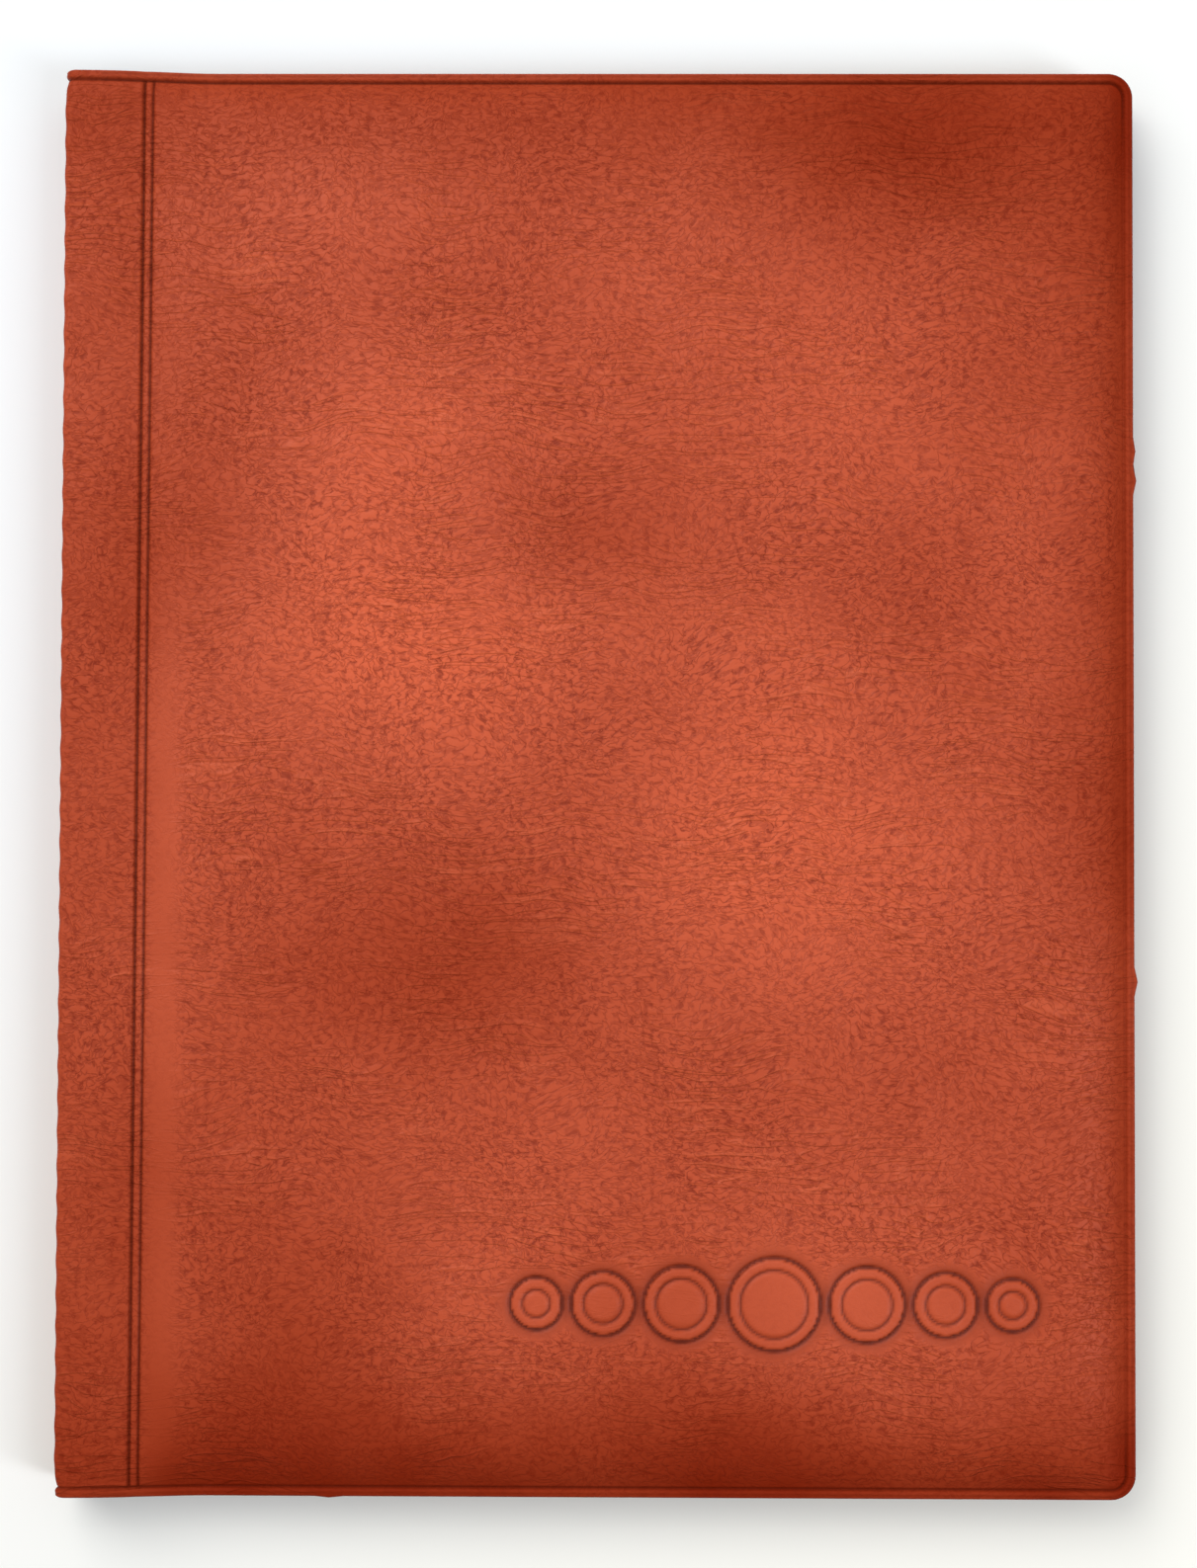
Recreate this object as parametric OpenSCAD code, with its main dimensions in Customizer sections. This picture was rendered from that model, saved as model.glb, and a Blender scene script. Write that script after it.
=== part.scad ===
// Coin album, closed, lying on its back cover. Lengths are in millimetres.
// +X runs from the spine to the fore edge, +Y to the top of the pages, +Z to the front cover.
// The origin is the middle of the bottom face.

/* [Cover] */
// Width of the closed album, from spine to fore edge
album_w = 188; // [180:1:196]
// Height of the album along the spine
album_h = 250; // [240:1:260]
// Thickness of the closed album
album_t = 14.5; // [14.5:0.1:16]
// Radius of the corners at the fore edge
corner_r = 4.3; // [3.5:0.1:6]
// Thickness of the leatherette
skin_t = 0.6; // [0.5:0.1:0.7]
// Thickness of the foam under the leatherette
foam_t = 1.5; // [1.2:0.1:1.5]
// Thickness of the greyboard
board_t = 1.5; // [1.2:0.1:1.5]
// Thickness of the lining sheet
lining_t = 0.3; // [0.2:0.1:0.3]

/* [Welded edges] */
// Width of the flat welded rim around each cover
rim_w = 3; // [2.5:0.1:4]
// Width over which the padding slopes from the board's edge to its full height
shoulder_w = 5; // [4:0.5:8]
// Gap between a cover's board and its welded rim
board_gap = 1.8; // [1.8:0.1:2.4]

/* [Spine] */
// Width of the strip between the spine fold and the weld hinge
strip_w = 13.8; // [12:0.1:15]
// Depth of the weld hinge below the cover's outer face
hinge_depth = 1.2; // [0.8:0.1:1.4]
// Depth of the strip below the cover's outer face, at the spine fold
strip_depth = 0.2; // [0.1:0.1:0.3]
// Width of the band that welds the pages together
seam_w = 3.2; // [3:0.1:3.5]

/* [Pages] */
// Number of pages
page_count = 8; // [8:1:8]
// Distance between neighbouring pages
page_pitch = 0.8; // [0.75:0.01:0.8]
// Thickness of a page's film
film_t = 0.2; // [0.15:0.01:0.2]
// Height of a page along the spine
page_h = 239; // [228:1:240]
// Distance from a page's edge to the cover's fore edge
page_inset = 5.5; // [4:0.5:8]
// Free film between a page's fold and its first pocket
page_margin = 9; // [8:0.5:14]
// Pockets across a page
pocket_columns = 4; // [2:1:5]
// Rows of pockets on a page
pocket_rows = 6; // [3:1:7]
// Radius of the thumb notch at a pocket's mouth
notch_r = 7; // [5:0.5:8]

/* [Hidden] */

$fn = 48;
slice = 0.01; // thickness of the slices that a hull joins
clear = 0.05; // play between pieces that lie on each other

// Heights above a cover's outer face
cover_t = skin_t + foam_t + board_t + lining_t;
board_z = skin_t + foam_t;
side_z = board_z - 0.5; // where the padding's sides turn into its shoulders
rim_z = cover_t - lining_t - skin_t;
lining_z = cover_t - lining_t;

// Places across the album
spine_x = -album_w / 2;
fore_x = album_w / 2;
hinge_x = spine_x + strip_w; // weld hinge, where a strip meets its cover
hinge_gap = 0.2; // from the hinge's axis to the solid on each side
pad_x = hinge_x + 2.8; // hinge side of a cover's flat lining
board_x = pad_x + board_gap;

// The spine fold runs in the middle of the leatherette's thickness
fold_x = spine_x + skin_t / 2;
fold_z = strip_depth + skin_t / 2;
fold_gap = 0.45; // from the fold's axis to the end of each leatherette panel

// Page stack
seam_x = spine_x + skin_t + lining_t;
page_fold_x = seam_x + seam_w + 0.4; // line about which the pages turn
page_x = page_fold_x + 3.5; // the stretch before this bends as a page turns
page_end_x = fore_x - page_inset;
stack_z = album_t / 2 - film_t / 2; // middle of the stack
pocket_x = page_x + page_margin;
weld_w = 1.5; // welded margin around the pockets
column_w = (page_end_x - weld_w - pocket_x) / pocket_columns;
row_h = (page_h - 2 * weld_w) / pocket_rows;
mouth_gap = 3; // from one strip's open edge to the next strip

leather_red = [0.66, 0.27, 0.16];
lining_red = [0.42, 0.16, 0.09];
foam_white = [0.93, 0.92, 0.88];
board_grey = [0.60, 0.58, 0.53];
film_clear = [0.80, 0.86, 0.90, 0.45];
pocket_clear = [0.88, 0.93, 0.97, 0.35];

// Height of page number k's fold line
function page_z(k) = stack_z + ((page_count + 1) / 2 - k) * page_pitch;

// Height of a strip's outer face at x: it dips evenly from the spine fold to the weld hinge
function strip_z(x) = strip_depth + (hinge_depth - strip_depth) * (x - spine_x) / strip_w;

// A cover's outline with round corners at the fore edge, inset from the album's edges
module cover_outline(from_x, inset, r) {
    end_x = fore_x - inset;
    half_h = album_h / 2 - inset;
    translate([from_x, -half_h])
        square([end_x - r - from_x, 2 * half_h]);
    translate([end_x - 2 * r, r - half_h])
        square([2 * r, 2 * (half_h - r)]);
    for (side = [-1, 1])
        translate([end_x - r, side * (half_h - r)])
            circle(r);
}

module cover_plate(z, t, from_x, inset, r)
    translate([0, 0, z])
        linear_extrude(t)
            cover_outline(from_x, inset, r);

// A profile drawn in X and Z, carried along the spine
module along_spine(length)
    rotate([90, 0, 0])
        linear_extrude(length, center = true)
            children();

// The front is the back turned over about the middle of the album's thickness
module front_side()
    translate([0, 0, album_t])
        mirror([0, 0, 1])
            children();

// The padded form, drawn in by t from the outside of the leatherette: a flat top, shoulders
// that fall to the board's edge, sides around the board, and a slope down to the weld hinge.
// At the hinge its inner side lies lip above its outer side.
module padded_form(t, low_z, lip) {
    side_inset = rim_w + 1;
    top_inset = side_inset + shoulder_w;
    hinge_half = album_h / 2 - (t > 0 ? rim_w + t : 0);
    hull() {
        cover_plate(t, slice, hinge_x + top_inset + t / 2, top_inset + t / 4, corner_r + 2);
        cover_plate(side_z + t / 2, slice, board_x, side_inset + t, corner_r - 0.5);
        cover_plate(low_z - slice, slice, pad_x, rim_w + t, corner_r - 1);
        translate([hinge_x + hinge_gap + t, -hinge_half, hinge_depth + t])
            cube([slice, 2 * hinge_half, lip]);
    }
}

// Leatherette of one cover: a shallow tray, with the rim that is welded to the lining
module cover_skin()
    color(leather_red)
        difference() {
            union() {
                cover_plate(rim_z, skin_t, pad_x, 0, corner_r);
                padded_form(0, lining_z, skin_t);
            }
            padded_form(skin_t, lining_z + slice, 2 * skin_t);
        }

// Foam between the leatherette and the board, with shoulders inside the leatherette's
module cover_foam()
    color(foam_white)
        hull() {
            cover_plate(skin_t + clear, slice, hinge_x + rim_w + shoulder_w + 2,
                rim_w + shoulder_w + 1.5, corner_r + 2);
            cover_plate(board_z - clear, slice, board_x + 1,
                rim_w + board_gap + 0.2, corner_r - 1);
        }

module cover_board()
    color(board_grey)
        cover_plate(board_z, board_t - clear, board_x, rim_w + board_gap, corner_r - 1.5);

// Lining of one cover: flat under the board, then up to the weld hinge
module cover_lining() {
    low_z = hinge_depth + skin_t;
    edge_x = hinge_x + hinge_gap;
    color(lining_red)
        intersection() {
            along_spine(album_h)
                polygon([
                    [edge_x, low_z], [pad_x, lining_z], [fore_x, lining_z],
                    [fore_x, cover_t], [pad_x - lining_t / 2, cover_t], [edge_x, low_z + lining_t]
                ]);
            cover_plate(0, cover_t, edge_x, 0, corner_r);
        }
}

// A sheet of the strip between spine fold and weld hinge, depth below its outer face
module strip_sheet(depth, t, tint) {
    from_x = fold_x + fold_gap + depth / 2;
    to_x = hinge_x - hinge_gap;
    color(tint)
        along_spine(album_h)
            polygon([
                [from_x, strip_z(from_x) + depth], [to_x, strip_z(to_x) + depth],
                [to_x, strip_z(to_x) + depth + t], [from_x, strip_z(from_x) + depth + t]
            ]);
}

// A sheet of the spine wall, depth inside the album's outer face
module wall_sheet(depth, t, tint) {
    end_z = fold_z + fold_gap + depth / 2;
    color(tint)
        translate([spine_x + depth, -album_h / 2, end_z])
            cube([t, album_h, album_t - 2 * end_z]);
}

// The pages are welded into one band, which is welded to the lining of the spine wall
module binding_seam() {
    band_h = (page_count - 1) * page_pitch + 3 * film_t;
    color(film_clear)
        translate([seam_x, -page_h / 2, stack_z - band_h / 2])
            cube([seam_w, page_h, band_h]);
}

// A page's backing film
module page(k) {
    r = 3;
    half_h = page_h / 2;
    color(film_clear)
        translate([0, 0, page_z(k) - film_t / 2])
            linear_extrude(film_t)
                union() {
                    translate([page_x, -half_h])
                        square([page_end_x - r - page_x, page_h]);
                    translate([page_end_x - 2 * r, r - half_h])
                        square([2 * r, page_h - 2 * r]);
                    for (side = [-1, 1])
                        translate([page_end_x - r, side * (half_h - r)])
                            circle(r);
                }
}

// A row of pockets: one strip of film with a thumb notch in the mouth of each pocket
module pocket_strip()
    linear_extrude(film_t)
        difference() {
            square([pocket_columns * column_w, row_h - mouth_gap]);
            for (column = [0 : pocket_columns - 1])
                translate([(column + 0.5) * column_w, row_h - mouth_gap])
                    circle(notch_r);
        }

module pockets(k)
    color(pocket_clear)
        for (row = [0 : pocket_rows - 1])
            translate([pocket_x, weld_w - page_h / 2 + row * row_h, page_z(k) + film_t / 2])
                pocket_strip();

cover_skin();  // back_cover_skin
cover_foam();  // back_foam
cover_board();  // back_board
cover_lining();  // back_cover_lining
strip_sheet(0, skin_t, leather_red);  // back_strip_skin
strip_sheet(skin_t, lining_t, lining_red);  // back_strip_lining
wall_sheet(0, skin_t, leather_red);  // spine_wall_skin
wall_sheet(skin_t, lining_t, lining_red);  // spine_wall_lining
binding_seam();
page(1);  // page_1
page(2);  // page_2
page(3);  // page_3
page(4);  // page_4
page(5);  // page_5
page(6);  // page_6
page(7);  // page_7
page(8);  // page_8
pockets(1);  // pockets_1
pockets(2);  // pockets_2
pockets(3);  // pockets_3
pockets(4);  // pockets_4
pockets(5);  // pockets_5
pockets(6);  // pockets_6
pockets(7);  // pockets_7
pockets(8);  // pockets_8
front_side() strip_sheet(0, skin_t, leather_red);  // front_strip_skin
front_side() strip_sheet(skin_t, lining_t, lining_red);  // front_strip_lining
front_side() cover_skin();  // front_cover_skin
front_side() cover_foam();  // front_foam
front_side() cover_board();  // front_board
front_side() cover_lining();  // front_cover_lining
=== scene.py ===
import bpy
import numpy as np
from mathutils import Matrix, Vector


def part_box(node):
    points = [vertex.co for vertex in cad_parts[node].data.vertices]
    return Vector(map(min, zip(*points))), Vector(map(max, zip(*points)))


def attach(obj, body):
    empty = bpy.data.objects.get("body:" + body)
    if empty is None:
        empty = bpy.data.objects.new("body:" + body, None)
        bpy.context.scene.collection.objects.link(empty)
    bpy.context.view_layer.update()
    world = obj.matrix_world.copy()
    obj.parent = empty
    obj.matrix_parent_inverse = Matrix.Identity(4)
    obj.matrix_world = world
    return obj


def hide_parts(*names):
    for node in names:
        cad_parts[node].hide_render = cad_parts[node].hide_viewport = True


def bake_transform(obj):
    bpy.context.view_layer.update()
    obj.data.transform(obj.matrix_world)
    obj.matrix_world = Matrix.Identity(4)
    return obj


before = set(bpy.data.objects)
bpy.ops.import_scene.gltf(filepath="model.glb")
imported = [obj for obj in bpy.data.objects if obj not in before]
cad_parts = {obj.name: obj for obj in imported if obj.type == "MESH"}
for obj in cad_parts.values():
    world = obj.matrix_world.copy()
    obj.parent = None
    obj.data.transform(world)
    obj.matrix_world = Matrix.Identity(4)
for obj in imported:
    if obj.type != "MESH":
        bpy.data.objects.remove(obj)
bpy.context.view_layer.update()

# --- Camera -------------------------------------------------------------------------------------
# The album lies on a table and is seen from right above, a little below its middle, from about
# half a metre.
mm = 0.001
scene = bpy.context.scene
eye = bpy.data.objects.new("eye", bpy.data.cameras.new("eye"))
eye.location = (4.8 * mm, -13.6 * mm, 480 * mm)
eye.rotation_euler = (0.0277, 0.0097, 0.0030)
eye.data.lens = 61.3
eye.data.sensor_width = 36.0
eye.data.clip_start = 0.01
scene.collection.objects.link(eye)
scene.camera = eye
scene.view_settings.view_transform = "Standard"


# --- Table and daylight -------------------------------------------------------------------------
# A sheet of white card on a table by a window: broad soft light from the window at the top left,
# a paler strip of light from low on the right, and the white of the room all round.
def shader(material, **sockets):
    """The material's one shader, with plain numbers set on its own sockets."""
    material.use_nodes = True
    material.node_tree.nodes.clear()
    bsdf = material.node_tree.nodes.new("ShaderNodeBsdfPrincipled")
    out = material.node_tree.nodes.new("ShaderNodeOutputMaterial")
    material.node_tree.links.new(bsdf.outputs[0], out.inputs["Surface"])
    for name, value in sockets.items():
        bsdf.inputs[name.replace("_", " ")].default_value = value
    return bsdf


def wire(tree, kind, feeds=(), **settings):
    """A node of that kind. feeds maps its sockets to what feeds them: another node's socket,
    or a plain value."""
    made = tree.nodes.new(kind)
    for name, value in settings.items():
        setattr(made, name, value)
    for socket, source in dict(feeds).items():
        if isinstance(source, bpy.types.NodeSocket):
            tree.links.new(source, made.inputs[socket])
        else:
            made.inputs[socket].default_value = source
    return made


def sheet_of(tree):
    """Place on the sheet before it was folded, in metres: across the cover, along the spine."""
    return wire(tree, "ShaderNodeAttribute", attribute_name="sheet").outputs["Vector"]


def stretched(tree, place, across, along, shift=0.0):
    """The place, scaled by one number across and another along, so that a pattern is drawn out."""
    return wire(tree, "ShaderNodeMapping", {0: place, 1: (shift, shift * 0.7, shift * 0.3),
                                            3: (across, along, along)}).outputs[0]


def noise(tree, place, scale, detail=2.0, rough=0.5, twist=0.0):
    """A noise over the plane of the sheet, about 0.5 in the middle of its range."""
    return wire(tree, "ShaderNodeTexNoise", {"Vector": place, "Scale": scale, "Detail": detail,
                                             "Roughness": rough, "Distortion": twist},
                noise_dimensions="2D").outputs["Fac"]


def sums(tree, kind, a, b, c=None):
    """One step of arithmetic on sockets or plain values, such as a * b + c for MULTIPLY_ADD."""
    feeds = {0: a, 1: b}
    if c is not None:
        feeds[2] = c
    return wire(tree, "ShaderNodeMath", feeds, operation=kind).outputs[0]


def between(tree, value, low, high, to_low=0.0, to_high=1.0):
    """The value taken smoothly from one range to another, and held at its ends."""
    return wire(tree, "ShaderNodeMapRange", {"Value": value, "From Min": low, "From Max": high,
                                             "To Min": to_low, "To Max": to_high},
                interpolation_type="SMOOTHSTEP").outputs["Result"]


def dyed(tree, share, first, second):
    """The first colour where the share is 0 and the second where it is 1."""
    return wire(tree, "ShaderNodeMix", {"Factor": share, 6: first, 7: second},
                data_type="RGBA").outputs[2]


card = bpy.data.materials.new("card")
card_bsdf = shader(card, Roughness=0.9)
tree = card.node_tree
where = wire(tree, "ShaderNodeTexCoord").outputs["Object"]
across = wire(tree, "ShaderNodeVectorMath", {0: where, 1: (0.7, -0.7, 0.0)},
              operation="DOT_PRODUCT").outputs["Value"]
# Painted light: the card is cool toward the window at the top left and warmer and a little darker
# toward the lower right, with a faint noise of tone.
painted_light_and_tone = sums(tree, "MULTIPLY_ADD", noise(tree, where, 9.0), 0.03, across)
tree.links.new(dyed(tree, between(tree, painted_light_and_tone, -0.16, 0.17), (0.86, 0.885, 0.90, 1),
                    (0.875, 0.855, 0.79, 1)), card_bsdf.inputs["Base Color"])
reach, sunk = 4.0, -0.2 * mm
card_mesh = bpy.data.meshes.new("table")
card_mesh.from_pydata([(-reach, -reach, sunk), (reach, -reach, sunk), (reach, reach, sunk),
                       (-reach, reach, sunk)], [], [(0, 1, 2, 3)])
card_mesh.materials.append(card)
table = bpy.data.objects.new("table", card_mesh)
scene.collection.objects.link(table)

room = bpy.data.worlds.new("room")
scene.world = room
room.use_nodes = True
tree = room.node_tree
way = wire(tree, "ShaderNodeTexCoord").outputs["Generated"]
rise = wire(tree, "ShaderNodeSeparateXYZ", {0: way}).outputs["Z"]
away = wire(tree, "ShaderNodeVectorMath", {0: way, 1: (0.72, -0.80, 0.0)},
            operation="DOT_PRODUCT").outputs["Value"]
open_sky = sums(tree, "MULTIPLY", between(tree, rise, 0.25, 0.9, 0.22, 1.0),
                between(tree, away, 0.0, 0.62, 1.0, 0.22))
sky = dyed(tree, open_sky, (0.0, 0.0, 0.0, 1), (0.97, 0.99, 1.0, 1))
tree.links.new(sky, tree.nodes["Background"].inputs["Color"])
tree.nodes["Background"].inputs["Strength"].default_value = 0.95


def window(name, place, aim, width, height, watts, colour):
    """A soft rectangular light at one place, turned to face another."""
    lamp = bpy.data.lights.new(name, "AREA")
    lamp.shape = "RECTANGLE"
    lamp.size, lamp.size_y = width, height
    lamp.energy = watts
    lamp.color = colour
    held = bpy.data.objects.new(name, lamp)
    held.location = place
    run = np.array(aim) - np.array(place)
    flat = np.hypot(run[0], run[1])
    held.rotation_euler = (np.arctan2(flat, -run[2]), 0.0, np.arctan2(run[1], run[0]) - np.pi / 2)
    scene.collection.objects.link(held)


window("window", (-0.55, 0.80, 1.15), (0, 0, 0), 1.1, 1.1, 13.5, (1.0, 0.985, 0.96))
window("side_glow", (0.66, -0.32, 0.84), (0.08, -0.05, 0), 0.22, 0.75, 5.0, (0.88, 0.92, 1.0))


# --- Leatherette --------------------------------------------------------------------------------
# One sheet of grained PVC on fabric, dyed red-brown, goes from fore edge to fore edge round the
# spine, over foam and board. A hot tool welds it to the lining along every edge, which leaves a
# pressed line and a bead, and along two lines at each hinge.
low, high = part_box("front_cover_skin")
thick = high.z / mm
fore_x, half_h = high.x / mm, high.y / mm
spine_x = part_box("spine_wall_skin")[0].x / mm
hinge_x = (low.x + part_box("front_strip_skin")[1].x) / 2 / mm
skin = 0.6
corner = 4.3
strip_cut = spine_x + 6.2
weld_in, bead_w = 1.6, 1.5
grooves = ((hinge_x - 0.78, 0.55), (hinge_x + 0.76, 0.42))


def lines(stops, steps):
    """Grid lines through the stops. Each stretch is divided evenly, in steps of at most its own."""
    runs = [np.linspace(a, b, int(np.ceil((b - a) / step)) + 1)[:-1]
            for a, b, step in zip(stops, stops[1:], steps)]
    return np.concatenate(runs + [[stops[-1]]])


def ease(value, low_end, high_end):
    """0 below the low end, 1 above the high end, and 3t^2 - 2t^3 between them."""
    t = np.clip((value - low_end) / (high_end - low_end), 0.0, 1.0)
    return t * t * (3.0 - 2.0 * t)


def ridge(value, middle, spread):
    """exp(-((value - middle) / spread)^2): 1 on the middle line, and falling off to each side."""
    return np.exp(-((value - middle) / spread) ** 2)


def ripple(x, y, length, seed):
    """Twice the mean of 14 cosines of seeded direction and phase, each about one length from
    crest to crest."""
    draw = np.random.default_rng(seed)
    turn, phase = draw.uniform(0, 2 * np.pi, (2, 14))
    per_mm = 2 * np.pi / length * draw.uniform(0.7, 1.5, 14)
    along = x[..., None] * np.cos(turn) + y[..., None] * np.sin(turn)
    return 2.0 * np.cos(along * per_mm + phase).mean(-1)


def rounded(x, y, end_x, end_y, r):
    """The two corners at the fore edge: each square corner of side r is squeezed to a quarter disc
    by p -> p max(a, b) / |(a, b)|, with a and b counted from the disc's centre in units of r."""
    a = np.clip((x - (end_x - r)) / r, 0.0, None)
    b = np.clip((np.abs(y) - (end_y - r)) / r, 0.0, None)
    squeeze = np.where((a > 0) & (b > 0), np.maximum(a, b) / np.maximum(np.hypot(a, b), 1e-9), 1.0)
    return (np.where(a > 0, end_x - r + a * squeeze * r, x),
            np.where(b > 0, np.sign(y) * (end_y - r + b * squeeze * r), y))


def strip_depth(x):
    """The strip's depth below the cover's face: 0.2 + u^2, with u from 0 at the spine to 1."""
    return 0.2 + np.clip((x - spine_x) / (hinge_x - spine_x), 0.0, 1.0) ** 2


def rim_depth(x):
    """Depth of the welded rim: 0.3 under the strip at the spine, easing to 3.0 on the cover."""
    strip = strip_depth(x) + 0.3
    return strip + (3.0 - strip) * ease(x, hinge_x - 3, hinge_x + 13)


def pad_depth(x, y):
    """Depth of the padded face below its highest plane. The face falls to the rim as
    (1 - t)^2.2, with t from 0 at the weld to 1 where the padding is full, and the distance from
    the three edges is (a^-p + b^-p + c^-p)^(-1/p), which rounds the pad's corners."""
    p = 3.5
    gaps = np.stack([fore_x - x, half_h - y, half_h + y]).clip(0.02)
    reach = (gaps ** -p).sum(0) ** (-1 / p)
    run = 3.2 + 7.8 * ease(x, hinge_x - 1, hinge_x + 10)
    fall = (1.0 - np.clip((reach - weld_in - 0.5) / run, 0.0, 1.0)) ** 2.2
    slope = 1.2 * (1.0 - np.clip((x - hinge_x) / 10.5, 0.0, 1.0)) ** 2.0
    middle = np.where(x > hinge_x, slope, strip_depth(x))
    return middle + (rim_depth(x) - middle) * fall


def edge_gap(x, y):
    """Distance to the nearest of the fore edge and the two long ends: the least of the three."""
    return np.minimum(fore_x - x, half_h - np.abs(y))


def welded(gap):
    """What the edge weld adds: a bead sqrt(1 - t^2) high along the edge, less a fine line on it
    and a pressed line inside it, which are ridges turned down."""
    t = np.clip((gap - bead_w / 2) / (bead_w / 2), -1.0, 1.0)
    bead = 0.38 * np.sqrt(1.0 - t * t) - 0.10 * ridge(gap, 0.62, 0.14)
    return bead - 0.30 * ridge(gap, weld_in + 0.1, 0.19)


def hinge_line(x, y):
    """x counted so that the hinge welds are straight. The tool stood a fifth of a degree askew."""
    return x - 0.95 * (y / (2 * half_h)) - 0.35


def hinge_welds(x, y):
    """The weld hinge: two pressed lines and a raised lip outside each, all ridges, which die out
    at the ends. Gives their height, and how much painted shade their lines get."""
    ends = ease(half_h - np.abs(y), 1.2, 2.1)
    x = hinge_line(x, y)
    pressed = sum(depth * ridge(x, at, 0.23) for at, depth in grooves)
    lips = 0.10 * ridge(x, grooves[0][0] - 0.75, 0.45) + 0.06 * ridge(x, grooves[1][0] + 0.75, 0.5)
    return (lips - pressed) * ends, sum(ridge(x, at, 0.24) for at, _ in grooves) * ends


# The stamp is a row of plain coins, one for each size that fits a pocket, pressed blind into the
# padding: a thin deep outline, a puffed rim, a second line and a low round field.
coin_sizes = (9.0, 11.0, 13.0, 16.0, 13.0, 11.0, 9.0)
coin_gap = 1.6
coin_y = -91.0
coin_start = 31.0 - (sum(coin_sizes) + coin_gap * (len(coin_sizes) - 1)) / 2


def stamped(x, y):
    """Height of the stamp, and how far each point is inside its smoothed field. By the distance
    r from a coin's middle: a rim eased up at both sides, a ridge turned down for each line, and
    1 - (r / its radius)^2 for the field."""
    height, field = np.zeros_like(x), np.zeros_like(x)
    left = coin_start
    for size in coin_sizes:
        r = np.hypot(x - left - size / 2, y - coin_y)
        edge = size / 2
        rim = ease(r, edge - 1.9, edge - 1.5) * ease(edge - r, 0.1, 0.5)
        height += 0.55 * rim - 0.62 * ridge(r, edge, 0.34) - 0.40 * ridge(r, edge - 2.1, 0.30)
        height += 0.42 * np.clip(1.0 - (r / (edge - 2.3)) ** 2, 0.0, None)
        height -= 0.14 * ridge(r, edge + 0.7, 1.0)
        field = np.maximum(field, 1.0 - ease(r, edge + 0.6, edge + 3.5))
        left += size + coin_gap
    return height, field


def solid_sheet(name, top, under, sheet, **marks):
    """Closes two grids of points, top and under, into one solid sheet: quads between neighbours,
    the same turned over below, and a wall round the rim, all facing out. sheet is the place of
    each point on the flat sheet, and marks are further numbers per point."""
    rows, cols = top.shape[:2]
    count = rows * cols
    index = np.arange(count).reshape(rows, cols)
    quads = np.stack([index[:-1, :-1], index[1:, :-1], index[1:, 1:], index[:-1, 1:]], -1)
    quads = quads.reshape(-1, 4)
    loop = np.concatenate([index[:-1, 0], index[-1, :-1], index[:0:-1, -1], index[0, :0:-1]])
    ahead = np.roll(loop, -1)
    walls = np.stack([ahead, loop, loop + count, ahead + count], -1)
    faces = np.concatenate([quads, quads[:, ::-1] + count, walls])
    a, b, c = (top.reshape(-1, 3)[quads[:, i]] for i in (0, 1, 2))
    out = np.einsum("ij,ij->", np.cross(b - a, c - a), a - under.reshape(-1, 3)[quads[:, 0]])
    if out < 0:
        faces = faces[:, ::-1]
    points = np.concatenate([top.reshape(-1, 3), under.reshape(-1, 3)]) * mm
    mesh = bpy.data.meshes.new(name)
    mesh.vertices.add(2 * count)
    mesh.vertices.foreach_set("co", points.ravel().astype(np.float32))
    mesh.loops.add(faces.size)
    mesh.loops.foreach_set("vertex_index", faces.ravel().astype(np.int32))
    mesh.polygons.add(len(faces))
    mesh.polygons.foreach_set("loop_start", np.arange(0, faces.size, 4, dtype=np.int32))
    mesh.update(calc_edges=True)
    smooth = np.ones(len(faces), bool)
    smooth[2 * len(quads):] = False
    mesh.polygons.foreach_set("use_smooth", smooth)
    flat = mesh.attributes.new("sheet", "FLOAT_VECTOR", "POINT")
    places = np.zeros((2 * count, 3), np.float32)
    places[:, :2] = np.tile(np.stack(sheet, -1).reshape(-1, 2) * mm, (2, 1))
    places[count:, 2] = -skin * mm
    flat.data.foreach_set("vector", places.ravel())
    for mark, values in marks.items():
        layer = mesh.attributes.new(mark, "FLOAT", "POINT")
        layer.data.foreach_set("value", np.tile(values.ravel(), 2).astype(np.float32))
    made = bpy.data.objects.new(name, mesh)
    scene.collection.objects.link(made)
    return made


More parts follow.
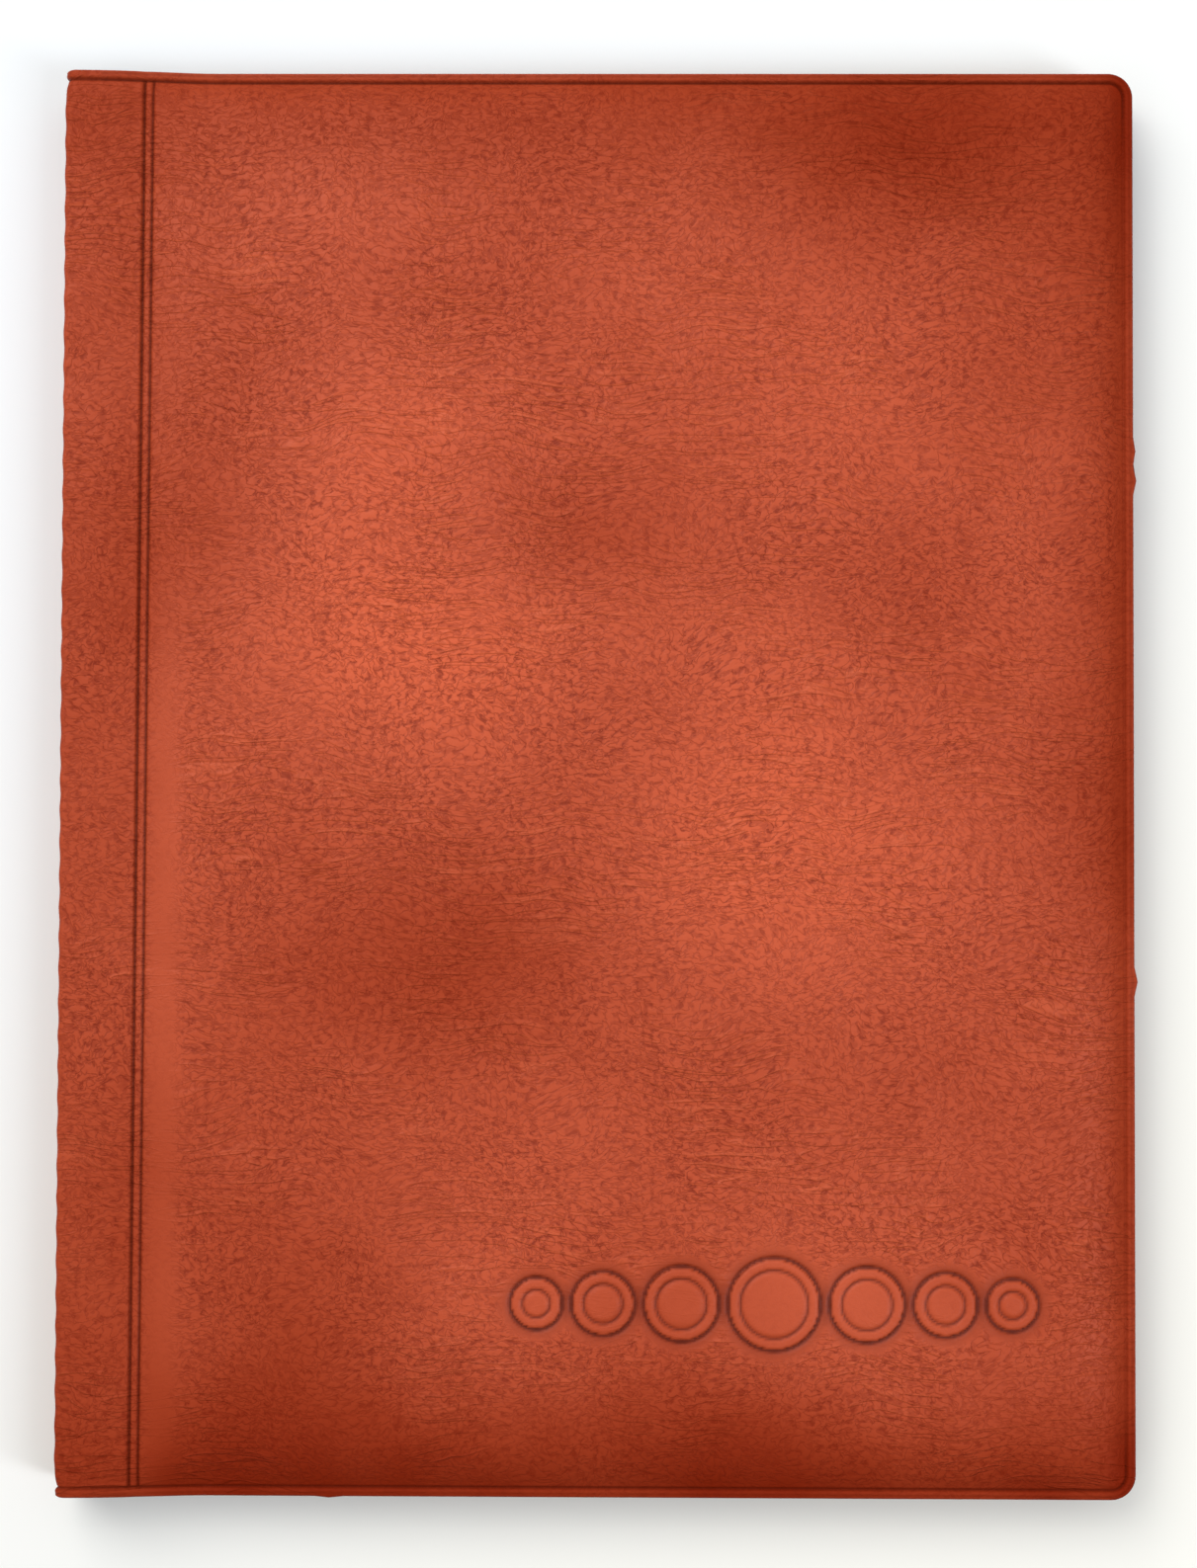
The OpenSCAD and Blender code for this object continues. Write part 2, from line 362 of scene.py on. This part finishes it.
def leatherette():
    """Embossed grain: short wrinkles about 1.2 mm apart and drawn out across the cover, longer
    raised ones in loose groups, and fine pores. Its strength varies in patches, the valleys are
    darker, the raised wrinkles carry a painted highlight, and the dye is cloudy, with painted shade
    along the edges."""
    material = bpy.data.materials.new("leatherette")
    bsdf = shader(material)
    tree = material.node_tree
    place = sheet_of(tree)
    crease, calm, cloud = (wire(tree, "ShaderNodeAttribute", attribute_name=name).outputs["Fac"]
                           for name in ("crease", "calm", "cloud"))
    # The wrinkles run in bends about 20 mm long.
    bend = wire(tree, "ShaderNodeTexNoise", {"Vector": place, "Scale": 48.0, "Detail": 1.0},
                noise_dimensions="2D").outputs["Color"]
    drift = wire(tree, "ShaderNodeVectorMath", {0: bend, 1: (0.5, 0.5, 0.5)},
                 operation="SUBTRACT").outputs[0]
    drift = wire(tree, "ShaderNodeVectorMath", {0: drift, "Scale": 0.0065},
                 operation="SCALE").outputs[0]
    flowing = wire(tree, "ShaderNodeVectorMath", {0: place, 1: drift}, operation="ADD").outputs[0]
    # Worm-like valleys lie where a noise passes through its middle value.
    short = noise(tree, stretched(tree, flowing, 560, 800, 3.1), 1.0, 2.0, 0.55, 0.35)
    worm = between(tree, sums(tree, "ABSOLUTE", sums(tree, "SUBTRACT", short, 0.5), 0.0),
                   0.0, 0.09, 1.0, 0.0)
    # Longer wrinkles stand up in loose groups.
    long = noise(tree, stretched(tree, flowing, 62, 470, 7.7), 1.0, 1.0, 0.5, 0.5)
    streak = between(tree, sums(tree, "ABSOLUTE", sums(tree, "SUBTRACT", long, 0.5), 0.0),
                     0.0, 0.045, 1.0, 0.0)
    group = between(tree, noise(tree, stretched(tree, place, 26, 38, 2.9), 1.0, 1.0), 0.42, 0.58)
    streak = sums(tree, "MULTIPLY", streak, group)
    lumps = noise(tree, stretched(tree, flowing, 700, 1000, 5.3), 1.0, 1.0)
    patch = between(tree, noise(tree, place, 42.0, 2.0, 0.6), 0.34, 0.66)
    keep = sums(tree, "MULTIPLY_ADD", patch, 0.24, 0.74)
    keep = sums(tree, "MULTIPLY", keep, between(tree, calm, 0.0, 1.0, 1.0, 0.14))
    relief = sums(tree, "MULTIPLY_ADD", worm, -0.62, lumps)
    relief = sums(tree, "MULTIPLY_ADD", streak, 1.7, relief)
    relief = sums(tree, "MULTIPLY", relief, keep)
    pores = noise(tree, place, 3600.0, 2.0, 0.6)
    relief = sums(tree, "MULTIPLY_ADD", pores, 0.15, relief)
    bump = wire(tree, "ShaderNodeBump", {"Height": relief, "Strength": 0.6, "Distance": 0.00022})
    tree.links.new(bump.outputs[0], bsdf.inputs["Normal"])
    # Colour: cloudy red-brown dye, with painted shade along the edges and in the weld lines, and
    # darker in the valleys.
    body = dyed(tree, cloud, (0.17, 0.008, 0.0005, 1), (0.63, 0.104, 0.037, 1))
    # Less shine where the colour is darker, from heavy dye and from the painted shade.
    tree.links.new(between(tree, cloud, 0.22, 0.80, 0.015, 0.17), bsdf.inputs["Specular IOR Level"])
    valley = sums(tree, "MULTIPLY_ADD", worm, 0.55, between(tree, lumps, 0.30, 0.52, 0.5, 0.0))
    valley = sums(tree, "MULTIPLY", valley, sums(tree, "MULTIPLY", keep, 0.72))
    body = dyed(tree, valley, body, (0.17, 0.012, 0.003, 1))
    # Painted highlight: the raised wrinkles are coloured lighter, less where the colour is dark.
    wrinkle_highlight = sums(tree, "MULTIPLY", streak, keep)
    wrinkle_highlight = sums(tree, "MULTIPLY", wrinkle_highlight, between(tree, cloud, 0.2, 0.9))
    body = dyed(tree, sums(tree, "MULTIPLY", wrinkle_highlight, 0.45), body, (0.64, 0.12, 0.046, 1))
    # Painted shade: the pressed weld, hinge and stamp lines are coloured nearly black-brown.
    body = dyed(tree, sums(tree, "MULTIPLY", crease, 0.85), body, (0.070, 0.005, 0.001, 1))
    tree.links.new(body, bsdf.inputs["Base Color"])
    tree.links.new(sums(tree, "MULTIPLY_ADD", valley, 0.2, 0.42), bsdf.inputs["Roughness"])
    return material


leather = leatherette()


def clouds(x, y, seed):
    """How light the colour is: two seeded ripples of uneven dye, less painted shade in a ridge along
    each edge, and soft spots exp(-(x / wide)^2 - (y / tall)^2) of lighter and darker dye, the dark
    ones along the edges being painted shade."""
    # Each spot's middle, half widths and strength.
    spots = ((-38, 52, 20, 34, 0.20), (-40, 20, 26, 16, 0.22), (30, -12, 22, 22, 0.32),
             (-6, 28, 30, 12, 0.12), (40, 60, 30, 26, 0.08), (-62, 96, 24, 18, 0.10),
             (-28, -34, 26, 20, -0.30), (-2, 42, 18, 12, -0.20), (-36, 84, 22, 12, -0.16),
             (52, 36, 20, 12, -0.10), (10, -112, 60, 9, -0.14), (-62, -112, 18, 16, -0.14),
             (58, 116, 34, 12, -0.10), (60, 104, 34, 16, -0.24), (72, 76, 18, 20, -0.12),
             (-66, -84, 30, 34, -0.16), (38, -52, 26, 14, -0.10), (86, 30, 8, 70, -0.14),
             (78, -45, 12, 50, -0.05), (-70, 55, 14, 34, -0.16), (-20, 112, 50, 12, -0.06))
    light = 0.66 + 0.075 * ripple(x, y, 55.0, seed) + 0.03 * ripple(x, y, 18.0, seed + 5)
    # Painted shade: darker along the top, bottom and fore edges, where the padding slopes away
    # from the light, most in the lower part and less on the strip's ends. The strip is darker too.
    pad = 0.45 + 0.55 * ease(x, hinge_x - 2, hinge_x + 8)
    low_right = 1.0 - 0.4 * ease(x, fore_x - 16, fore_x - 3)
    light = light - 0.23 * pad * ridge(y, half_h, 16)
    light = light - pad * low_right * (0.27 * ridge(y, -half_h, 22) + 0.22 * ridge(y, -half_h, 10))
    light = light - 0.12 * ridge(x, fore_x, 9) - 0.18 * ridge(x, fore_x - 1.5, 3.5)
    light = light - 0.15 * (1.0 - ease(x, hinge_x - 3, hinge_x + 9))
    for at_x, at_y, wide, tall, strength in spots:
        light = light + strength * np.exp(-((x - at_x) / wide) ** 2 - ((y - at_y) / tall) ** 2)
    return np.clip(light, 0.0, 1.0)


def cover_face(seed, stamp):
    """The outer face of one cover with half of its strip: places on the flat sheet, depths of its
    outer and inner sides below the highest plane, how much painted shade its pressed lines get,
    how calm it is, and how light its colour is, painted shade included. The depth is the pad's,
    less the welds, a soft unevenness of two ripples and the stamp."""
    fine, plain = (0.4, 2.6) if stamp else (2.4, 2.6)
    xs = lines([strip_cut, strip_cut + 0.03, hinge_x - 2.2, hinge_x + 2.4, hinge_x + 11, -16, 78,
                fore_x - corner, fore_x - 2.2, fore_x],
               [0.03, 0.8, 0.2, 1.1, plain, fine, 1.6, 0.5, 0.19])
    ys = lines([-half_h, 2.2 - half_h, 5 - half_h, 10 - half_h, coin_y - 9.5, coin_y + 9.5,
                half_h - 10, half_h - 5, half_h - 2.2, half_h],
               [0.19, 0.7, 1.4, 2.0, fine, plain, 1.4, 0.7, 0.19])
    x, y = np.meshgrid(xs, ys, indexing="ij")
    gap = edge_gap(x, y)
    inside = ease(gap, 2.5, 12.0) * ease(x, hinge_x + 2, hinge_x + 14)
    base = pad_depth(x, y)
    soft = 0.10 * ripple(x, y, 60.0, seed) + 0.05 * ripple(x, y, 22.0, seed + 1)
    hinge, hinge_dark = hinge_welds(x, y)
    raised = welded(gap) + hinge + (soft - 0.12) * inside
    along_fore = ease(half_h - np.abs(y) - (fore_x - x), 0.0, 14.0)
    # Painted shade in the pressed lines: the line inside the bead, weaker along the fore edge, the
    # hinge lines and a fine line on the bead.
    groove_shade = np.maximum(ridge(gap, weld_in + 0.1, 0.22) * (1.0 - 0.75 * along_fore), hinge_dark)
    groove_shade = np.maximum(groove_shade, 0.35 * ridge(gap, 0.62, 0.16))
    calm = 0.9 * ridge(x, hinge_x + 4.5, 3.6) * (0.35 + 0.65 * ease(-y, -45.0, 5.0))
    calm = np.maximum(calm, 0.5 * (1.0 - ease(gap, 2.0, 5.0)))
    if stamp:
        mark, field = stamped(x, y)
        raised = raised + mark
        calm = np.maximum(calm, field)
        # The stamp's pressed lines get painted shade too.
        groove_shade = np.maximum(groove_shade, np.clip(-2.2 * mark, 0.0, 1.0))
    marks = {"crease": groove_shade.clip(0, 1), "calm": calm.clip(0, 1), "cloud": clouds(x, y, seed)}
    return x, y, np.maximum(base - raised, 0.0), base + skin, marks


def laid(x, y, depth, front):
    """Points of a sheet that lies depth below the outer face of the front or the back cover, with
    its corners rounded. Nibs of squeezed-out plastic, each a ridge, stand proud of the edge."""
    across, along = rounded(x, y, fore_x, half_h, corner)
    nibs = sum(0.6 * ridge(y, at, 0.8) for at in (57.6, 53.2, -34.8))
    across = across + ease(x, fore_x - 1.2, fore_x) * nibs
    along = along - ease(-y, half_h - 1.2, half_h) * 0.4 * ridge(x, -45.8, 0.9)
    return np.stack([across, along, thick - depth if front else depth], -1)


def hinged(piece):
    """Bakes the piece's placing into its points."""
    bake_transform(piece)


front_seed = 11
x, y, depth, under, marks = cover_face(front_seed, True)
face = solid_sheet("leather_front", laid(x, y, depth, True), laid(x, y, under, True), (x, y),
                   **marks)
face.data.materials.append(leather)
hinged(face)
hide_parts("front_cover_skin")


# --- Spine --------------------------------------------------------------------------------------
# The same sheet goes on over the strip, round the front fold, down the spine and round the back
# fold. Inside it the page weld presses small scallops into both folds.
fold_r = 0.95


def fold_profile(t, y):
    """The sheet from mid-strip over the fold to mid-spine: length run, x, depth, and the outward
    direction. t is 0-1 along the straight strip, 1-2 round a quarter circle and 2-3 straight down
    the spine wall. The circle's radius grows to the ends, where the sheet is welded flat."""
    r = fold_r + 1.0 - ease(half_h - np.abs(y), 0.0, 5.0)
    strip, turn, wall = (np.clip(t - start, 0.0, 1.0) for start in range(3))
    strip_end = spine_x + r
    angle = turn * np.pi / 2
    x = strip_cut + (strip_end - strip_cut) * strip - r * np.sin(angle)
    fold_top = strip_depth(strip_end)
    wall_len = thick / 2 - fold_top - r
    depth = np.where(t <= 1, strip_depth(x), fold_top + r * (1.0 - np.cos(angle))) + wall_len * wall
    run = (strip_cut - strip_end) * strip + r * angle + wall_len * wall
    return run, x, depth, -np.sin(angle), np.cos(angle)


ts = lines([0.0, 0.005, 0.8, 1.0, 2.0, 2.2, 2.995, 3.0], [0.005, 0.2, 0.1, 0.1, 0.05, 0.2, 0.005])
ys = lines([-half_h, 2.2 - half_h, 5 - half_h, half_h - 5, half_h - 2.2, half_h],
           [0.19, 0.7, 0.8, 0.7, 0.19])
round_fold, fold_y = np.meshgrid(ts, ys, indexing="ij")
fold_run, fold_x, fold_depth, out_x, out_z = fold_profile(round_fold, fold_y)
half_run = fold_run[-1, len(ys) // 2]
fold_gap = half_h - np.abs(fold_y)
bulge = ridge(round_fold, 1.45, 0.5) * ease(fold_gap, 2.0, 6.0)
wander = 0.9 * ripple(fold_y, 0 * fold_y, 31.0, 5)
scallop = 0.15 * np.cos(2 * np.pi * (fold_y + wander) / 5.6)
line = ridge(round_fold, 2.12, 0.07) * ease(fold_gap, 1.4, 2.2)
pressed = welded(fold_gap) + (scallop + 0.05) * bulge - 0.22 * line


def over_fold(front, inset, raised=0.0):
    """Points of one side of a layer that is inset below the outer face: each is moved along the
    outward direction by raised - inset, less 0.3 (1 - t)^2.2 where the ends settle."""
    settle = 0.3 * (1.0 - np.clip((fold_gap - weld_in - 0.5) / 3.2, 0.0, 1.0)) ** 2.2
    off = raised - inset - settle
    depth = fold_depth - out_z * off
    return np.stack([fold_x + out_x * off, fold_y, thick - depth if front else depth], -1)


def spine_place(front):
    """Place on the flat sheet: the run from mid-strip, counted on from the front's to the back's."""
    return (strip_cut - fold_run if front else strip_cut - 2 * half_run + fold_run), fold_y


def folded(piece):
    """Bakes the piece's placing into its points."""
    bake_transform(piece)


for side in ("front", "back"):
    front = side == "front"
    place = spine_place(front)
    # The crease mark paints shade into the pressed weld line and the pressed fold line.
    piece = solid_sheet("leather_spine_" + side, over_fold(front, 0, pressed),
                        over_fold(front, skin), place,
                        crease=np.maximum(0.8 * ridge(fold_gap, weld_in + 0.1, 0.24), 0.8 * line),
                        calm=np.maximum(0.5 * (1.0 - ease(fold_gap, 2.0, 5.0)), 0.5 * bulge),
                        cloud=clouds(*place, front_seed))
    piece.data.materials.append(leather)
    folded(piece)
    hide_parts(side + "_strip_skin", *(["spine_wall_skin"] if side == "back" else []))


# --- Back cover ---------------------------------------------------------------------------------
# The same sheet ends in the back cover, which is padded and welded like the front but has no
# stamp. The album rests on it.
x, y, depth, under, marks = cover_face(23, False)
back = solid_sheet("leather_back", laid(x, y, depth, False), laid(x, y, under, False),
                   (2 * (strip_cut - half_run) - x, y), **marks)
back.data.materials.append(leather)
hinged(back)
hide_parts("back_cover_skin")


# --- Linings ------------------------------------------------------------------------------------
# A thinner sheet of fine-grained PVC closes each cover on the inside. It is flat over the board
# and runs on through the strips and the spine, welded to the leatherette at every edge.
lining, board_in = 0.3, 3.6


def lining_depth(x, y):
    """The lining's outer side below the cover's face: board_in under the board, eased at the
    hinge to the underside of the strip, and eased along the edges to that of the rim."""
    flat = strip_depth(x) + skin
    flat = flat + (board_in - flat) * ease(x, hinge_x + 0.2, hinge_x + 2.9)
    return flat + (rim_depth(x) + skin - flat) * (1.0 - ease(edge_gap(x, y), weld_in, 4.4))


lining_stuff = bpy.data.materials.new("lining")
lining_bsdf = shader(lining_stuff, Specular_IOR_Level=0.3)
tree = lining_stuff.node_tree
place = sheet_of(tree)
crease = wire(tree, "ShaderNodeAttribute", attribute_name="crease").outputs["Fac"]
fine = noise(tree, stretched(tree, place, 900, 900), 1.0, 3.0, 0.6)
veins = between(tree, sums(tree, "ABSOLUTE", sums(tree, "SUBTRACT", fine, 0.5), 0.0),
                0.0, 0.08, 0.0, 1.0)
tint = dyed(tree, noise(tree, place, 22.0, 3.0), (0.135, 0.030, 0.014, 1), (0.185, 0.042, 0.020, 1))
tint = dyed(tree, sums(tree, "MULTIPLY_ADD", veins, -0.35, 0.35), tint, (0.07, 0.014, 0.007, 1))
tint = dyed(tree, sums(tree, "MULTIPLY", crease, 0.7), tint, (0.04, 0.008, 0.004, 1))
tree.links.new(tint, lining_bsdf.inputs["Base Color"])
tree.links.new(sums(tree, "MULTIPLY_ADD", veins, -0.12, 0.58), lining_bsdf.inputs["Roughness"])
tree.links.new(wire(tree, "ShaderNodeBump", {"Height": veins, "Strength": 0.35,
                                             "Distance": 0.0001}).outputs[0],
               lining_bsdf.inputs["Normal"])

xs = lines([strip_cut, hinge_x - 1.8, hinge_x + 3.4, fore_x - 6, fore_x], [1.2, 0.3, 3.0, 0.4])
ys = lines([-half_h, 6 - half_h, half_h - 6, half_h], [0.4, 3.0, 0.4])
x, y = np.meshgrid(xs, ys, indexing="ij")
outer = lining_depth(x, y)
weld = np.maximum(ridge(edge_gap(x, y), weld_in, 0.35), ridge(x, hinge_x, 0.6))
for side, front in (("front", True), ("back", False)):
    piece = solid_sheet("lining_" + side, laid(x, y, outer, front),
                        laid(x, y, outer + lining - 0.06 * weld, front), (x, y), crease=weld)
    piece.data.materials.append(lining_stuff)
    hinged(piece)
    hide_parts(side + "_cover_lining")
    piece = solid_sheet("lining_spine_" + side, over_fold(front, skin),
                        over_fold(front, skin + lining), spine_place(front), crease=0 * fold_gap)
    piece.data.materials.append(lining_stuff)
    folded(piece)
    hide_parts(side + "_strip_lining", *(["spine_wall_lining"] if side == "back" else []))


# --- Foam and board -----------------------------------------------------------------------------
# Soft open-celled foam lies under the leatherette, on 1.5 mm greyboard pressed from mixed waste
# paper. The two are cut to size and held by nothing but the welds round them.
def stuff(name, first, second, size, rough, bumpy):
    """A stock material: two shades in a noise of that grain size, with its relief."""
    made = bpy.data.materials.new(name)
    bsdf = shader(made, Roughness=rough, Specular_IOR_Level=0.2)
    tree = made.node_tree
    where = wire(tree, "ShaderNodeTexCoord").outputs["Object"]
    grain = wire(tree, "ShaderNodeTexNoise", {"Vector": where, "Scale": 1 / size, "Detail": 4.0})
    tree.links.new(dyed(tree, between(tree, grain.outputs["Fac"], 0.3, 0.7), first, second),
                   bsdf.inputs["Base Color"])
    tree.links.new(wire(tree, "ShaderNodeBump", {"Height": grain.outputs["Fac"], "Strength": 0.5,
                                                 "Distance": bumpy}).outputs[0],
                   bsdf.inputs["Normal"])
    return made


foam = stuff("foam", (0.55, 0.50, 0.38, 1), (0.80, 0.77, 0.66, 1), 0.0006, 0.95, 0.0004)
board = stuff("greyboard", (0.22, 0.20, 0.17, 1), (0.38, 0.35, 0.30, 1), 0.0004, 0.9, 0.00012)
for side in ("front", "back"):
    for node, material in ((side + "_foam", foam), (side + "_board", board)):
        held = bpy.data.objects[node]
        held.data.materials.clear()
        held.data.materials.append(material)


# --- Page weld ----------------------------------------------------------------------------------
# The margins of the eight clear pages are welded into one solid band, knurled by the tool, which
# is welded in turn to the lining of the spine.
def clear(name, alpha, tint, rough):
    """Clear plasticised PVC: glossy, faintly milky, cloudier along its welds and bright along
    its cut edges."""
    made = bpy.data.materials.new(name)
    bsdf = shader(made, Specular_IOR_Level=1.0, IOR=1.53)
    made.surface_render_method = "BLENDED"
    tree = made.node_tree
    place = sheet_of(tree)
    weld, cut = (wire(tree, "ShaderNodeAttribute", attribute_name=mark).outputs["Fac"]
                 for mark in ("crease", "cut"))
    haze = noise(tree, place, 60.0, 1.0, 0.6)
    knurl = wire(tree, "ShaderNodeTexChecker", {"Vector": place, "Scale": 1400.0}).outputs["Fac"]
    milky = sums(tree, "MULTIPLY", weld, sums(tree, "MULTIPLY_ADD", knurl, 0.4, 0.6))
    tree.links.new(dyed(tree, haze, tint, (0.95, 0.97, 0.98, 1)), bsdf.inputs["Base Color"])
    cover_share = sums(tree, "MULTIPLY_ADD", haze, 0.03, alpha - 0.015)
    cover_share = sums(tree, "MULTIPLY_ADD", milky, 0.13, cover_share)
    cover_share = sums(tree, "MULTIPLY_ADD", cut, 0.5, cover_share)
    tree.links.new(cover_share, bsdf.inputs["Alpha"])
    tree.links.new(sums(tree, "MULTIPLY_ADD", milky, 0.30, rough), bsdf.inputs["Roughness"])
    return made


film = clear("clear_film", 0.032, (0.86, 0.91, 0.93, 1), 0.10)

low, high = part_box("binding_seam")
page_h = (high.y - low.y) / mm
seam_x = high.x / mm
middle_x, middle_z = (low.x + high.x) / 2 / mm, (low.z + high.z) / 2 / mm
half_band = (high.z - low.z) / 2 / mm - 0.1
x, y = np.meshgrid(np.linspace(low.x, high.x, 17) / mm, np.linspace(low.y, high.y, 301) / mm,
                   indexing="ij")
# The tool's teeth are cos(x) cos(y), 0.8 by 1.6 mm, cut off flat and fading out to both sides.
knurl = np.cos(2 * np.pi * x / 0.8) * np.cos(2 * np.pi * y / 1.6)
knurl = 0.10 * np.clip(1.5 * knurl, -1, 1) * ridge(x, middle_x, 1.3)
band = solid_sheet("page_weld", np.stack([x, y, middle_z + half_band + knurl], -1),
                   np.stack([x, y, middle_z - half_band - knurl], -1), (x, y),
                   crease=0.8 + 2.0 * knurl)
band.data.materials.append(film)
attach(band, "spine_wall")
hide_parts("binding_seam")


# --- Pages --------------------------------------------------------------------------------------
# Each page is one clear film with six strips of thinner film welded across it. Three welds cut
# every strip into four pockets, and a half-round notch at each mouth lets a thumb in.
rows, columns = 6, 4
notch_r, weld_w, page_corner, mouth = 7.0, 1.5, 3.0, 3.0
strip_t, strip_lift = 0.18, 0.11
low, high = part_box("page_1")
page_x, page_y = high.x / mm, high.y / mm
low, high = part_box("pockets_1")
pocket_x, pocket_end = low.x / mm, high.x / mm
pitch = (page_h - 2 * weld_w) / rows
column_w = (pocket_end - pocket_x) / columns


pocket_stuff = clear("pocket_film", 0.026, (0.88, 0.92, 0.94, 1), 0.07)
# The eye looks through up to four open pages, each of two films with two faces.
scene.cycles.transparent_max_bounces = 18


def unshaded(piece):
    """Clear film casts next to no shadow, so light goes past this piece."""
    piece.visible_shadow = False
    piece.visible_diffuse = False


def page_wave(x, y, seed):
    """The film's gentle buckling, eased to nothing at the weld: ripples of 90 and 35 mm."""
    free = ease(x, seam_x, seam_x + 25.0)
    return free * (0.07 * ripple(x, y, 90.0, 3) + 0.02 * ripple(x, y, 35.0, seed))


def page_film(middle_z, half_t, seed):
    """Grids of one page: its two faces, its place, its welds and its cut edges. The welds are
    ridges at the foot of each strip of pockets and between the pockets."""
    xs = lines([seam_x, seam_x + 4.5, pocket_x, page_x - page_corner, page_x],
               [0.3, 2.5, 3.0, 0.5])
    ys = lines([-page_y, page_corner - page_y, page_y - page_corner, page_y], [0.5, 3.2, 0.5])
    x, y = np.meshgrid(xs, ys, indexing="ij")
    across, along = rounded(x, y, page_x, page_y, page_corner)
    z = middle_z + page_wave(across, along, seed)
    up = (y + page_y - weld_w) % pitch
    aside = (x - pocket_x + column_w / 2) % column_w - column_w / 2
    weld = np.maximum(ridge(up, weld_w / 2, 0.8), ridge(aside, 0.0, 0.8)) * (x > pocket_x - 1)
    cut = ridge(np.minimum(page_x - x, page_y - np.abs(y)), 0.0, 0.3)
    return (np.stack([across, along, z + half_t], -1), np.stack([across, along, z - half_t], -1),
            (x, y), weld, cut)


def pocket_strip(foot, middle_z, seed):
    """Grids of one strip of four pockets. Its mouth is the line pitch - mouth above its foot, less
    sqrt(r^2 - d^2) at each thumb notch, with d counted from the pocket's middle, and the film
    puffs up between its welds."""
    x = pocket_x + (np.arange(columns)[:, None] * column_w
                    + np.linspace(0, column_w, 21)[None, :-1]).ravel()
    x = np.append(x, pocket_end)[:, None]
    share = np.array([0.0, 0.04, 0.12, 0.35, 0.6, 0.8, 0.92, 0.99, 1.0])
    off_middle = np.abs((x - pocket_x) % column_w - column_w / 2)
    notch = np.sqrt(np.clip(notch_r ** 2 - off_middle ** 2, 0.0, None))
    up = share * (pitch - mouth - notch)
    x = x + 0 * up
    side_gap = column_w / 2 - off_middle + 0 * up
    puff = ease(side_gap, weld_w / 2, 5.0) * ease(up, weld_w, 7.0)
    z = middle_z + page_wave(x, foot + up, seed) + strip_lift + 0.12 * puff
    weld = np.maximum(ridge(side_gap, 0.0, 0.8), ridge(up, weld_w / 2, 0.8))
    return (np.stack([x, foot + up, z + strip_t], -1), np.stack([x, foot + up, z], -1),
            (x, foot + up), weld, 0 * up + (share == 1.0))


for number in range(1, 9):
    low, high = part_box("page_%d" % number)
    page_z, half_t = (low.z + high.z) / 2 / mm, (high.z - low.z) / 2 / mm
    top, under, place, weld, cut = page_film(page_z, half_t, 40 + number)
    sheet = solid_sheet("film_%d" % number, top, under, place, crease=weld, cut=cut)
    sheet.data.materials.append(film)
    unshaded(sheet)
    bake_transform(sheet)
    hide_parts("page_%d" % number)

    strips = []
    for row in range(rows):
        foot = -page_y + weld_w + row * pitch
        top, under, place, weld, cut = pocket_strip(foot, page_z, 40 + number)
        strips.append(solid_sheet("strip", top, under, place, crease=weld, cut=cut))
    with bpy.context.temp_override(active_object=strips[0], selected_editable_objects=strips,
                                   selected_objects=strips):
        bpy.ops.object.join()
    pockets = strips[0]
    pockets.name = "pocket_strips_%d" % number
    pockets.data.materials.append(pocket_stuff)
    unshaded(pockets)
    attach(pockets, "page_%d" % number)
    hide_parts("pockets_%d" % number)
